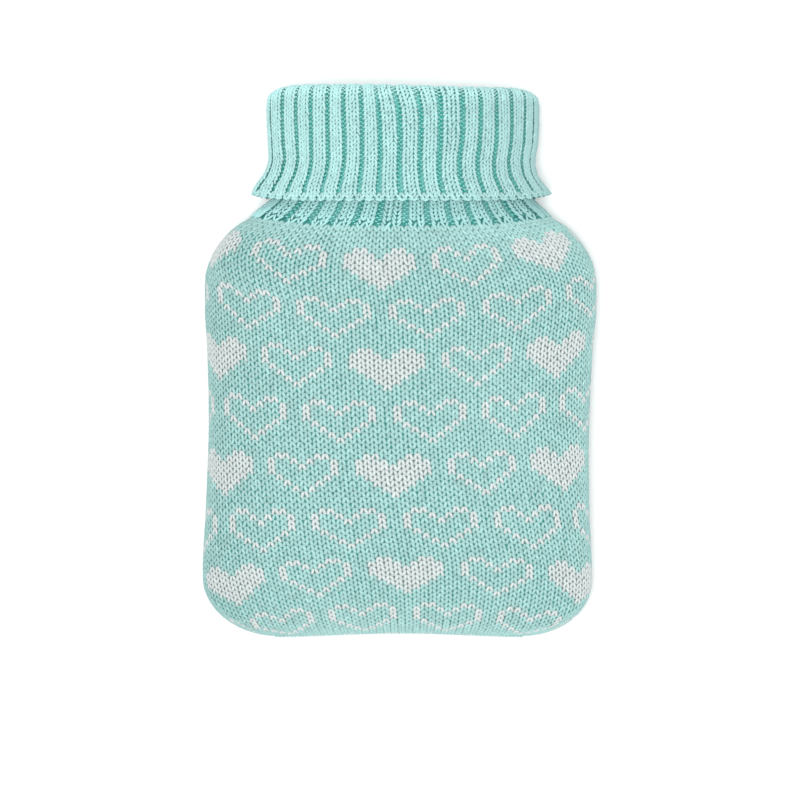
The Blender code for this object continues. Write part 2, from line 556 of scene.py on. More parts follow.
class Finish:
    """The node groups that the yarns share."""

    def __init__(self) -> None:
        """Builds the shared yarn grain once."""
        self.grain = self._grain_group()

    @staticmethod
    def _grain_group() -> bpy.types.NodeTree:
        """Fibres and twist along a turn of yarn, from its skin map.

        Returns:
            The node group, which puts out the fibres' streaks and the height of both.
        """
        group = bpy.data.node_groups.new("yarn_grain", "ShaderNodeTree")
        face = group.interface
        face.new_socket("Vector", in_out="INPUT", socket_type="NodeSocketVector")
        face.new_socket("Twist", in_out="INPUT", socket_type="NodeSocketFloat").default_value = 2.0
        face.new_socket("Streaks", in_out="OUTPUT", socket_type="NodeSocketFloat")
        face.new_socket("Height", in_out="OUTPUT", socket_type="NodeSocketFloat")
        nodes, links = group.nodes, group.links
        inlet, outlet = nodes.new("NodeGroupInput"), nodes.new("NodeGroupOutput")
        cells = nodes.new("ShaderNodeVectorMath")
        cells.operation = "SCALE"
        cells.inputs["Scale"].default_value = BAKE_CELLS
        links.new(inlet.outputs["Vector"], cells.inputs[0])
        twist = nodes.new("ShaderNodeTexWave")
        twist.wave_type, twist.bands_direction = "BANDS", "DIAGONAL"
        twist.inputs["Distortion"].default_value = 1.2
        links.new(cells.outputs[0], twist.inputs["Vector"])
        links.new(inlet.outputs["Twist"], twist.inputs["Scale"])
        stretch = nodes.new("ShaderNodeMapping")
        stretch.inputs["Scale"].default_value = (2.5, 14.0, 1.0)
        stretch.inputs["Rotation"].default_value = (0.0, 0.0, 0.35)
        links.new(cells.outputs[0], stretch.inputs["Vector"])
        fibres = nodes.new("ShaderNodeTexNoise")
        fibres.inputs["Scale"].default_value = 1.0
        fibres.inputs["Detail"].default_value = 3.0
        links.new(stretch.outputs[0], fibres.inputs["Vector"])
        both = nodes.new("ShaderNodeMix")
        both.inputs[0].default_value = 0.55
        links.new(twist.outputs["Fac"], both.inputs[2])
        links.new(fibres.outputs["Fac"], both.inputs[3])
        links.new(fibres.outputs["Fac"], outlet.inputs["Streaks"])
        links.new(both.outputs[0], outlet.inputs["Height"])
        return group


class MattFibre:
    """A material of matt fibres, put together a step at a time."""

    def __init__(self, name: str, roughness: float, sheen: float, shine: float) -> None:
        """Starts the material.

        Args:
            name: the material's name.
            roughness: of the fibres.
            sheen: how much their fuzz catches the light.
            shine: how much they mirror it.
        """
        self.material = bpy.data.materials.new(name)
        self.material.use_nodes = True
        self.nodes = self.material.node_tree.nodes
        self.links = self.material.node_tree.links
        self.shader = self.nodes["Principled BSDF"]
        self.shader.inputs["Roughness"].default_value = roughness
        self.shader.inputs["Sheen Weight"].default_value = sheen
        self.shader.inputs["Specular IOR Level"].default_value = shine

    def attribute(self, name: str) -> bpy.types.NodeSocket:
        """Reads one of the piece's own values.

        Args:
            name: of the attribute.

        Returns:
            The value.
        """
        node = self.nodes.new("ShaderNodeAttribute")
        node.attribute_name = name
        return node.outputs["Fac"]

    def scaled(
        self, value: bpy.types.NodeSocket, factor: float, plus: float | bpy.types.NodeSocket
    ) -> bpy.types.NodeSocket:
        """Multiplies a value and adds to it.

        Args:
            value: what is multiplied.
            factor: what it is multiplied by.
            plus: a number or another value, added to the product.

        Returns:
            The sum.
        """
        node = self.nodes.new("ShaderNodeMath")
        node.operation = "MULTIPLY_ADD"
        self.links.new(value, node.inputs[0])
        node.inputs[1].default_value = factor
        if isinstance(plus, bpy.types.NodeSocket):
            self.links.new(plus, node.inputs[2])
        else:
            node.inputs[2].default_value = plus
        return node.outputs[0]

    def colour(
        self, ends: Sequence[Colour], share: bpy.types.NodeSocket, bright: bpy.types.NodeSocket
    ) -> None:
        """Gives the fibres a colour between two.

        Args:
            ends: the two linear colours.
            share: how far from the first to the second, from 0 to 1.
            bright: how bright, where 1 leaves the colour as it is.
        """
        mix = self.nodes.new("ShaderNodeMix")
        mix.data_type = "RGBA"
        for label, end in zip("AB", ends):
            mix.inputs[label].default_value = (*end, 1.0)
        self.links.new(share, mix.inputs["Factor"])
        value = self.nodes.new("ShaderNodeHueSaturation")
        self.links.new(mix.outputs["Result"], value.inputs["Color"])
        self.links.new(bright, value.inputs["Value"])
        self.links.new(value.outputs["Color"], self.shader.inputs["Base Color"])

    def bumps(
        self, height: bpy.types.NodeSocket, strength: float, rise: float, sunk: bool = False
    ) -> None:
        """Gives the fibres a fine relief.

        Args:
            height: of the relief, from 0 to 1.
            strength: how much of it shows.
            rise: its real height in millimetres.
            sunk: True if it goes inwards.
        """
        bump = self.nodes.new("ShaderNodeBump")
        bump.invert = sunk
        bump.inputs["Strength"].default_value = strength
        bump.inputs["Distance"].default_value = rise * MM
        self.links.new(height, bump.inputs["Height"])
        self.links.new(bump.outputs["Normal"], self.shader.inputs["Normal"])


@dataclass(frozen=True)
class YarnFinish:
    """A matt yarn, paler on its crests and darker with painted shade where it sinks into the cloth.

    Args:
        name: the material's name.
        crest: linear colour where the yarn stands out of the cloth.
        recess_shade: linear colour where it sinks in, painted shade of the recesses.
        roughness: of the fibres.
        sheen: how much the fuzz catches the light.
        variety: how much one turn differs from the next, which also scales the painted light and shade
            in its tone.
    """

    name: str
    crest: Colour
    recess_shade: Colour
    roughness: float = 0.85
    sheen: float = 0.06
    variety: float = 0.10

    def material(self, finish: Finish) -> bpy.types.Material:
        """Builds the material.

        Args:
            finish: holds the shared node groups.

        Returns:
            The material, ready for a piece made of turns of yarn.
        """
        fibre = MattFibre(self.name, self.roughness, self.sheen, shine=0.2)
        fibre.shader.inputs["Sheen Roughness"].default_value = 0.6
        skin = fibre.nodes.new("ShaderNodeUVMap")
        skin.uv_map = "OFBake"
        grain = fibre.nodes.new("ShaderNodeGroup")
        grain.node_tree = finish.grain
        fibre.links.new(skin.outputs["UV"], grain.inputs["Vector"])
        # Tone: random differences between turns plus each piece's painted light and shade
        tone = fibre.scaled(fibre.attribute("tone"), self.variety, 0.90)
        bright = fibre.scaled(grain.outputs["Streaks"], 0.2, tone)
        # The recess colour, mixed in by sunk, is painted shade where the yarn sinks into the cloth
        fibre.colour((self.crest, self.recess_shade), fibre.attribute("sunk"), bright)
        fibre.bumps(grain.outputs["Height"], strength=0.5, rise=0.12)
        return fibre.material


@dataclass(frozen=True)
class ClothFinish:
    """The cloth that shows between the turns of yarn, and its inside, dark as painted shade between
    the turns.

    Args:
        name: the material's name.
        ground: linear colour under the mint yarn, dark as painted shade between the turns; on the
            collar, the painted shade in the grooves.
        contrast: linear colour under the white yarn, also darkened as painted shade; on the collar,
            the colour of the ridges.
        pitch: distance between the small bumps of its wrong side, in millimetres.
    """

    name: str
    ground: Colour
    contrast: Colour
    pitch: float

    def material(self) -> bpy.types.Material:
        """Builds the material.

        Returns:
            The material, with its small bumps read from the piece's own coordinates.
        """
        fibre = MattFibre(self.name, roughness=0.92, sheen=0.05, shine=0.1)
        place = fibre.nodes.new("ShaderNodeTexCoord")
        loops = fibre.nodes.new("ShaderNodeTexVoronoi")
        loops.inputs["Scale"].default_value = 1.0 / (self.pitch * MM)
        fibre.links.new(place.outputs["Object"], loops.inputs["Vector"])
        shadow = fibre.scaled(loops.outputs["Distance"], -0.45, 1.15)
        # The attribute white picks the white yarn's cloth on the body, and on the collar the ridges
        # away from the grooves' painted shade
        fibre.colour((self.ground, self.contrast), fibre.attribute("white"), shadow)
        fibre.bumps(loops.outputs["Distance"], strength=0.6, rise=0.4, sunk=True)
        return fibre.material


MINT_YARN = YarnFinish("mint_yarn", crest=(0.318, 0.52, 0.502), recess_shade=(0.165, 0.42, 0.39))
WHITE_YARN = YarnFinish(
    "white_yarn", crest=(0.525, 0.58, 0.575), recess_shade=(0.37, 0.43, 0.415), variety=0.06
)
RIB_YARN = YarnFinish("rib_yarn", crest=(0.372, 0.605, 0.595), recess_shade=(0.09, 0.49, 0.43))
# A copy of the rib yarn with a lighter recess colour: painted light where the cuff shades the neck
NECK_YARN = YarnFinish("neck_yarn", crest=(0.352, 0.615, 0.607), recess_shade=(0.095, 0.53, 0.485))
# Both cloths are dark as painted shade where they show between the turns of yarn
BODY_CLOTH = ClothFinish(
    "body_cloth", ground=(0.05, 0.29, 0.26), contrast=(0.17, 0.25, 0.24), pitch=1.6
)
COLLAR_CLOTH = ClothFinish(
    "collar_cloth", ground=(0.012, 0.27, 0.225), contrast=(0.12, 0.40, 0.37), pitch=1.3
)


@dataclass(frozen=True)
class Layout:
    """Offsets of one turn of yarn inside its stitch.

    Args:
        across: places across the stitch at each point, in wales, with 0 in its middle.
        down: places down the stitch, in courses, with 0 in its middle.
        depth: how far each point sinks into the cloth, in millimetres, which also sets its painted
            shade.
        width: half of the yarn's width at each point, in millimetres.
    """

    across: tuple[float, ...]
    down: tuple[float, ...]
    depth: tuple[float, ...]
    width: tuple[float, ...]

    def mirrored(self) -> "Layout":
        """The same turn on the stitch's other side."""
        return replace(self, across=tuple(-a for a in self.across))


BODY_LEG = Layout(
    across=(0.06, 0.12, 0.25, 0.38, 0.44),
    down=(-0.72, -0.47, 0.0, 0.47, 0.72),
    depth=(0.10, 0.0, 0.0, 0.04, 0.16),
    width=(0.0, 0.50, 0.55, 0.50, 0.0),
)
NECK_LEG = Layout(
    across=(0.03, 0.10, 0.25, 0.40, 0.47),
    down=(-0.88, -0.58, 0.0, 0.58, 0.88),
    depth=(0.20, 0.0, 0.0, 0.05, 0.28),
    width=(0.0, 0.39, 0.43, 0.39, 0.0),
)
CUFF_LEG = replace(NECK_LEG, across=NECK_LEG.across[::-1])
PURL_BAR = Layout(
    across=(-0.62, -0.32, 0.0, 0.32, 0.62),
    down=(0.30, 0.06, -0.12, -0.02, 0.16),
    depth=(0.40, 0.08, -0.10, 0.08, 0.40),
    width=(0.0, 0.25, 0.29, 0.25, 0.0),
)
HEM_SLANT = Layout(
    across=(-0.50, -0.34, 0.0, 0.32, 0.52),
    down=(1.05, 0.70, 0.0, -0.66, -1.05),
    depth=(0.25, 0.0, 0.0, 0.05, 0.35),
    width=(0.0, 0.36, 0.40, 0.36, 0.0),
)
HEM_EDGE = Layout(
    across=(-0.62, -0.36, 0.0, 0.36, 0.62),
    down=(0.55, 0.12, -0.28, 0.12, 0.55),
    depth=(0.40, 0.10, 0.02, 0.10, 0.40),
    width=(0.0, 0.36, 0.42, 0.36, 0.0),
)


@dataclass(frozen=True)
class Strand:
    """One line of turns along every rib.

    Args:
        offset: where it runs, in ribs from a groove.
        layout: of its turns.
        width: of its stitches, in ribs.
        shift: how far down its turns lie from the others, in courses.
        sink: how much painted shade its turns get, as a depth in the cloth from 0 to 1.
    """

    offset: float
    layout: Layout
    width: float
    shift: float = 0.0
    sink: float = 0.0


def strands(leg: Layout) -> tuple[Strand, ...]:
    """The six strands of a rib, which are two stitches' legs on its ridge and two rows of purl bars.

    Args:
        leg: the layout of the legs that lean one way. Their mirror images lean the other way.

    Returns:
        The legs' four strands first, and the bars' two after them.
    """
    return (
        Strand(0.315, leg.mirrored(), 0.38),
        Strand(0.315, leg, 0.38),
        Strand(0.685, leg.mirrored(), 0.38, 0.25),
        Strand(0.685, leg, 0.38, 0.25),
        Strand(-0.055, PURL_BAR, 0.13, 0.0, 0.5),
        Strand(0.055, PURL_BAR, 0.13, 0.5, 0.5),
    )


class Stitches:
    """Lays turns of yarn on a surface, stitch by stitch."""

    STRETCH = 0.0  # how much thinner the yarn is drawn at the sides
    ROOMY = 1.0  # how wide a wale has to be for the yarn's full thickness, in millimetres
    THINNEST = 0.3  # share of that thickness that yarn keeps where wales crowd together
    UNEVEN = 0.05  # share by which turns differ in their spread and thickness
    SWAY = 0.02  # how far they stray across their stitch, in its widths
    SLIP = 0.04  # and down it, in courses
    # Painted shade: yarn at DEEP gets the full recess colour
    DEEP = 0.6  # depth at which yarn has its deepest colour, in millimetres
    TONES = 0.5  # how much the shade differs from turn to turn
    TONE_LIMIT = 1.6

    def __init__(self, surface: KnitSurface, seed: int) -> None:
        """Notes the surface where the stitches lie and the seed of their small unevenness."""
        self.surface = surface
        self.random = np.random.default_rng(seed)

    def rows_and_shares(self, course: np.ndarray, wale: np.ndarray) -> tuple[np.ndarray, np.ndarray]:
        """Where a place in courses and wales lies on the surface's grid, by each piece's own rule."""
        raise NotImplementedError

    def relief(self, course: np.ndarray, wale: np.ndarray) -> np.ndarray:
        """How far the cloth stands out of the surface at a place, in millimetres."""
        return np.zeros_like(wale)

    def shade(self, course: np.ndarray, points: np.ndarray) -> np.ndarray:
        """How much paler the yarn is at a place, as a change of its tone, which holds each piece's
        painted light and shade.
        """
        return np.zeros_like(course, float)

    def room(self, course: np.ndarray, wale: np.ndarray, width: float) -> np.ndarray:
        """How thin the yarn has to be where wales crowd together, as a share for each stitch.

        Args:
            course: the stitches' courses.
            wale: their wales.
            width: of the stitches, in wales.

        Returns:
            A column of shares, 1 where there is room enough.
        """
        ends = []
        for step in (-0.5, 0.5):
            row, share = self.rows_and_shares(course + 0.5, wale + step * width)
            ends.append(self.surface.place(row, share)[0][:, :3])
        gap = np.linalg.norm(ends[1] - ends[0], axis=-1, keepdims=True)
        return np.clip(gap / (self.ROOMY * width), self.THINNEST, 1.0)

    def lay(
        self,
        course: np.ndarray,
        wale: np.ndarray,
        layout: Layout,
        width: float = 1.0,
        sink: np.ndarray | float = 0.0,
    ) -> Turns:
        """Lays one turn of yarn in each of many stitches, where the surface has room for it.

        Args:
            course: the stitches' courses, counted from the top.
            wale: their wales.
            layout: the turn's place inside a stitch.
            width: of the stitches, in wales.
            sink: how much more painted shade the turns get, as a depth in the cloth from 0 to 1.

        Returns:
            The turns.
        """
        count = len(course)
        steady = self.random.normal(0.0, 1.0, (4, count, 1))
        across = np.array(layout.across)[None] * (1.0 + self.UNEVEN * steady[0])
        across = across + self.SWAY * steady[1]
        down = np.array(layout.down)[None] + self.SLIP * steady[2]
        at_course = course[:, None] + 0.5 + down
        at_wale = wale[:, None] + across * width
        row, share = self.rows_and_shares(at_course, at_wale)
        points, normals = self.surface.place(row, share)
        thin = 1.0 - self.STRETCH * points[..., 3] ** 4
        yarn = np.array(layout.width)[None] * (1.0 + self.UNEVEN * steady[3]) * thin
        yarn = yarn * self.room(course, wale, width)
        bed = max(layout.width) * YarnTurn.FLATNESS
        depth = np.array(layout.depth)[None] + bed - self.relief(at_course, at_wale)
        # Painted shade: the deeper a point lies, the more of the yarn's recess colour it gets
        deep = np.array(layout.depth)[None] / self.DEEP
        deep = deep + np.reshape(sink, (-1, 1)) * np.ones((count, 1))
        sunk = np.clip(deep, 0.0, 1.0)
        # Random tone between turns, plus each piece's painted light and shade
        uneven = self.random.normal(0.0, self.TONES, count)
        tone = uneven + self.shade(course, points[:, 2])
        tone = np.clip(tone, -self.TONE_LIMIT, self.TONE_LIMIT)
        turns = Turns(points[..., :3] - normals * depth[..., None], normals, yarn, sunk, tone)
        turns.kept = row[:, 2] < len(self.surface.lengths) - 1.01
        return turns


class BodyStitches(Stitches):
    """Courses and wales of the patterned body.

    Heights and rises are in millimetres, and what moves wales sideways is in wales.
    """

    # Heights of some courses in the middle of the face, and how far their wales lean towards +X there
    COURSES = (-1.0, 0.0, 7.5, 17.5, 27.5, 37.5, 47.5, 57.5, 67.5, 77.5, 81.5)
    HEIGHTS = (128.7, 127.2, 114.4, 99.2, 83.8, 67.5, 51.0, 34.6, 20.0, 5.7, 1.3)
    DRIFTS = (-3.2, -3.1, -2.6, -1.85, -1.5, -1.15, -0.54, 0.25, 1.1, 1.3, 1.3)
    # How much more they lean on the right of the face, in a half wave across some of its wales
    PULLS = (0.0, 0.0, 0.0, 0.0, -0.9, -1.2, -0.8, 0.0, 0.5, 0.4, 0.4)
    PULL_START = 4.0
    PULL_REACH = 44.0
    PULL_POWER = 1.5
    # How much more they lean over the left shoulder, by wales, and how much of that by courses
    FAN_WALES = (-38.0, -20.0, -6.0)
    FANS = (0.0, -2.6, 0.0)
    FAN_COURSES = (-1.0, 4.0, 8.0, 16.0)
    FAN_SHARES = (0.4, 1.0, 1.0, 0.0)
    # How much higher courses run at both sides, by their height, and how much more at the right
    LIFT_HEIGHTS = (0.0, 5.0, 10.0, 20.0, 33.0, 44.0, 51.0, 84.0, 115.0, 124.0, 127.4)
    LIFTS = (0.0, -3.4, -4.9, -3.8, -1.4, 1.3, 1.8, 4.0, 3.6, 1.4, 0.0)
    TILT = 0.8
    TILT_START = 12.0  # it grows from the bottom edge to this height
    TILT_END = 10.0  # and fades this far below the join
    END_PITCH = 1.6  # of the courses round the bottom edge
    ROOMY = 2.0
    STRETCH = 0.20
    CROWDING = 0.06  # how much closer together wales lie at the sides
    # Paler yarn in the top courses, painted light over the bottom end from a late course on, and
    # painted shade along -X
    TOP_COURSES, TOP_PALENESS = 5.0, 0.5
    END_COURSE, END_COURSES, END_PALENESS = 76.0, 5.0, 0.9
    LEFT_SIDE_SHADE = 1.3

    def __init__(
        self, surface: KnitSurface, heights: np.ndarray, pattern: HeartPattern, seed: int
    ) -> None:
        """Notes the rules of the body's knitting.

        Args:
            surface: the body's outside.
            heights: of its rows, falling.
            pattern: of its hearts.
            seed: of its unevenness.
        """
        super().__init__(surface, seed)
        self.heights = heights
        self.pattern = pattern
        known = np.interp([-height for height in self.HEIGHTS], -heights, surface.lengths)
        left = surface.lengths[-1] - known[-1]
        self.courses = math.ceil(self.COURSES[-1] + left / self.END_PITCH)
        ends = [self.COURSES[-1] + left / self.END_PITCH * part for part in (0.5, 1.0)]
        lengths = [known[-1] + left * part for part in (0.5, 1.0)]
        self.course_table = np.linspace(self.COURSES[0], ends[-1], 400)
        self.length_table = smooth_curve(
            [*self.COURSES, *ends], [*known, *lengths], self.course_table
        )
        self.share_table = np.linspace(-1.0, 2.0, 3001)
        crowd = self.CROWDING / (4 * math.pi) * np.sin(4 * math.pi * self.share_table)
        self.wale_table = pattern.wales * (self.share_table - crowd)

    def rows_and_shares(self, course: np.ndarray, wale: np.ndarray) -> tuple[np.ndarray, np.ndarray]:
        """Courses follow the middle of the face and rise towards the sides, and wales lean a little.

        Args:
            course: places in courses, counted from the top.
            wale: places in wales, counted from the middle of the face towards +X.

        Returns:
            The rows of the surface's grid and the shares of the way round, for each place.
        """
        half = self.pattern.wales / 2
        place = (wale + half) % self.pattern.wales - half
        side = np.clip((place - self.PULL_START) / self.PULL_REACH, 0.0, 1.0)
        pull = np.interp(course, self.COURSES, self.PULLS)
        pull = pull * np.sin(math.pi * side) ** self.PULL_POWER
        spread = np.interp(course, self.FAN_COURSES, self.FAN_SHARES)
        pull = pull + spread * np.interp(place, self.FAN_WALES, self.FANS)
        known = np.minimum(course, self.COURSES[-1])
        leaned = wale + pull + smooth_curve(self.COURSES, self.DRIFTS, known)
        share = np.interp(leaned, self.wale_table, self.share_table) % 1.0
        row = self.surface.row_at(np.interp(course, self.course_table, self.length_table))
        across = self.surface.place(row, share)[0][..., 3]
        height = np.interp(row, np.arange(len(self.heights)), self.heights)
        rise = np.interp(height, self.LIFT_HEIGHTS, self.LIFTS) * across**2
        grown = np.clip(height / self.TILT_START, 0.0, 1.0)
        fade = grown * np.clip((JOIN_HEIGHT - height) / self.TILT_END, 0.0, 1.0)
        wanted = height + rise + self.TILT * across * fade
        row = np.interp(-wanted, -self.heights, np.arange(len(self.heights)))
        return row, share

    def shade(self, course: np.ndarray, points: np.ndarray) -> np.ndarray:
        """Paler in the top courses under the collar, and with painted light over the bottom end.

        Args:
            course: the stitches' courses.
            points: a point of each, with how far it lies across the width as a fourth number.

        Returns:
            A change of tone for each stitch, which also has painted shade towards the -X side.
        """
        top = np.clip((self.TOP_COURSES - course) / self.TOP_COURSES, 0.0, 1.0)
        end = np.clip((course - self.END_COURSE) / self.END_COURSES, 0.0, 1.0)
        # Paler top courses, and painted light over the bottom end
        stretched = self.TOP_PALENESS * top + self.END_PALENESS * end
        return stretched - self.LEFT_SIDE_SHADE * np.clip(-points[:, 3], 0.0, 1.0) ** 4


@dataclass(frozen=True)
class Bend:
    """A place where the ribs run a little to one side.

    Args:
        course: the middle of the place along the ribs.
        reach: how far it reaches along them, in courses.
        rib: its middle across them.
        spread: how far it reaches across them, in ribs.
        amount: how far the ribs move there towards +X, in ribs.
    """

    course: float
    reach: float
    rib: float
    spread: float
    amount: float

    def shift(self, course: np.ndarray, wale: np.ndarray) -> np.ndarray:
        """How far the ribs move at a place, in ribs."""
        along = ((course - self.course) / self.reach) ** 2
        return self.amount * np.exp(-along - ((wale - self.rib) / self.spread) ** 4)


class RibStitches(Stitches):
    """Ribs of two knit wales and two narrow purl wales.

    Wales are counted in whole ribs, from groove to groove.
    """

    RIBS = 36
    GROOVE = 0.135  # half of its width, in ribs
    EASED = 0.6  # share of a groove's depth that goes where it is pulled shallow
    # EASED_SINK: share of the purl bars' painted shade that goes where the grooves are pulled shallow
    EASED_SINK = 0.8  # share of its deeper colour that goes there
    # Painted shade on the collar's +X side: how much darker the yarn gets, and how far towards +X that
    # reaches full strength
    DARK_SIDE, DARK_REACH = 1.7, 40.0  # how much deeper the shade is this far towards +X

    def __init__(
        self,
        surface: KnitSurface,
        pitch: float,
        start: float,
        grooves: Sequence[float],
        depth: float,
        seed: int,
        wobble: float = 0.02,
    ) -> None:
        """Notes the rules of the ribs.

        Args:
            surface: one side of the collar.
            pitch: of its courses in millimetres.
            start: length down the surface where course 0 begins.
            grooves: angles in degrees of the grooves in front, from the left to the right.
            depth: of the grooves in millimetres.
            seed: of the unevenness.
            wobble: of the ribs' path, in ribs.
        """
        super().__init__(surface, seed)
        self.pitch, self.start, self.depth, self.wobble = pitch, start, depth, wobble
        # Course, reach in courses and paleness of each place where the grooves are pulled shallow
        self.shallow: tuple[tuple[float, float, float], ...] = ()
        self.bends: tuple[Bend, ...] = ()
        # How deep the ribs dip under the body at course 0, in millimetres
        self.tuck = 0.0
        known = [(90.0 - angle) / 360.0 for angle in grooves]
        behind = np.linspace(known[-1], known[0] + 1.0, self.RIBS - len(known) + 2)[1:]
        once = np.array([*known, *behind])
        self.share_table = np.concatenate([once[:-1] - 1.0, once[:-1], once + 1.0])
        self.rib_table = np.arange(-self.RIBS, 2 * self.RIBS + 1, dtype=float)

    def rows_and_shares(self, course: np.ndarray, wale: np.ndarray) -> tuple[np.ndarray, np.ndarray]:
        """Courses follow the cloth's path, and ribs wander a little from theirs.

        Args:
            course: places in courses.
            wale: places in ribs.

        Returns:
            The rows of the surface's grid and the shares of the way round, for each place.
        """
        row = self.surface.row_at(self.start + course * self.pitch)
        turn = 2 * math.pi * wale / self.RIBS
        wander = np.sin(5 * turn + 0.21 * course) + 0.7 * np.sin(13 * turn - 0.34 * course + 1.0)
        bent = wale + sum((bend.shift(course, wale) for bend in self.bends), 0.0)
        share = np.interp(bent + self.wobble * wander, self.rib_table, self.share_table)
        return row, share % 1.0

    def relief(self, course: np.ndarray, wale: np.ndarray) -> np.ndarray:
        """Grooves at whole numbers of ribs.

        Args:
            course: places in courses.
            wale: places in ribs.

        Returns:
            How far the cloth stands out of the surface at each place, in millimetres.
        """
        off = np.abs((wale + 0.5) % 1.0 - 0.5)
        depth = self.depth * (1.0 - self.EASED * self.smoothed(course))
        tucked = self.tuck * np.exp(-np.maximum(course, 0.0) ** 2)
        return -depth * np.exp(-((off / self.GROOVE) ** 4)) - tucked

    def smoothed(self, course: np.ndarray, paleness: bool = False) -> np.ndarray:
        """How far the grooves are pulled shallow.

        Args:
            course: places in courses.
            paleness: True to ask for the paleness given there, which over the fold is painted light.

        Returns:
            A share from 0 to 1, or the paleness, for each place.
        """
        found = 0.0 * course
        for at, reach, pale in self.shallow:
            found = found + (pale if paleness else 1.0) * np.exp(-(((course - at) / reach) ** 4))
        return found

    def shade(self, course: np.ndarray, points: np.ndarray) -> np.ndarray:
        """Paler where the grooves are pulled shallow, which over the fold is painted light, and darker
        towards +X with painted shade.
        """
        side = np.clip(points[:, 0] / self.DARK_REACH, 0.0, 1.0)
        return self.smoothed(course, paleness=True) - self.DARK_SIDE * side**2

    def ribs(self, courses: int, lines: Sequence[Strand], missing: Sequence[tuple[int, int]]) -> Turns:
        """Lays the strands of all the ribs.

        Args:
            courses: how many courses to knit.
            lines: the strands of each rib.
            missing: pairs of a strand's number and a course where it stays under the cloth.

        Returns:
            The turns.
        """
        laid = None
        for number, line in enumerate(lines):
            left_out = [course for strand, course in missing if strand == number]
            kept = np.setdiff1d(np.arange(courses), left_out)
            both = np.meshgrid(kept, np.arange(self.RIBS), indexing="ij")
            course, rib = (index.ravel() for index in both)
            course = course + line.shift
            sink = line.sink * (1.0 - self.EASED_SINK * self.smoothed(course))
            turns = self.lay(course, rib + line.offset, line.layout, line.width, sink)
            laid = turns if laid is None else laid.joined(turns)
        return laid


def widened(section: Section, out: float) -> Section:
    """Moves a section outwards.

    Args:
        section: the section.
        out: how far, in millimetres.

    Returns:
        The wider section.
    """
    return replace(
        section,
        half_width=section.half_width + out,
        front=section.front + out,
        back=section.back + out,
    )


def rounded(section: Section) -> Section:
    """Rounds off the body's bottom end.

    Args:
        section: a section of the body as if it ran straight down.

    Returns:
        The section, narrower and flatter near the bottom edge.
    """
    depth = round_share(section.height, END_REACH, END_BULGE)
    corner = CORNER_WIDTH * (1.0 - round_share(section.height, CORNER_HEIGHT))
    return replace(
        section,
        half_width=section.half_width - corner,
        front=section.front * depth,
        back=section.back * depth,
    )


def hollowed(ring: np.ndarray, section: Section) -> np.ndarray:
    """Bows the cloth slightly inwards between the two bottom corners.

    Args:
        ring: points of the section, in millimetres, which this changes.
        section: the section itself.

    Returns:
        The same ring.
    """
    near_end = max(0.0, 1.0 - section.height / HOLLOW_REACH) ** 2
    middle = np.clip(1.0 - ((ring[:, 0] - section.lean) / HOLLOW_WIDTH) ** 2, 0.0, 1.0)
    ring[:, 1] += HOLLOW * near_end * middle**2
    return ring


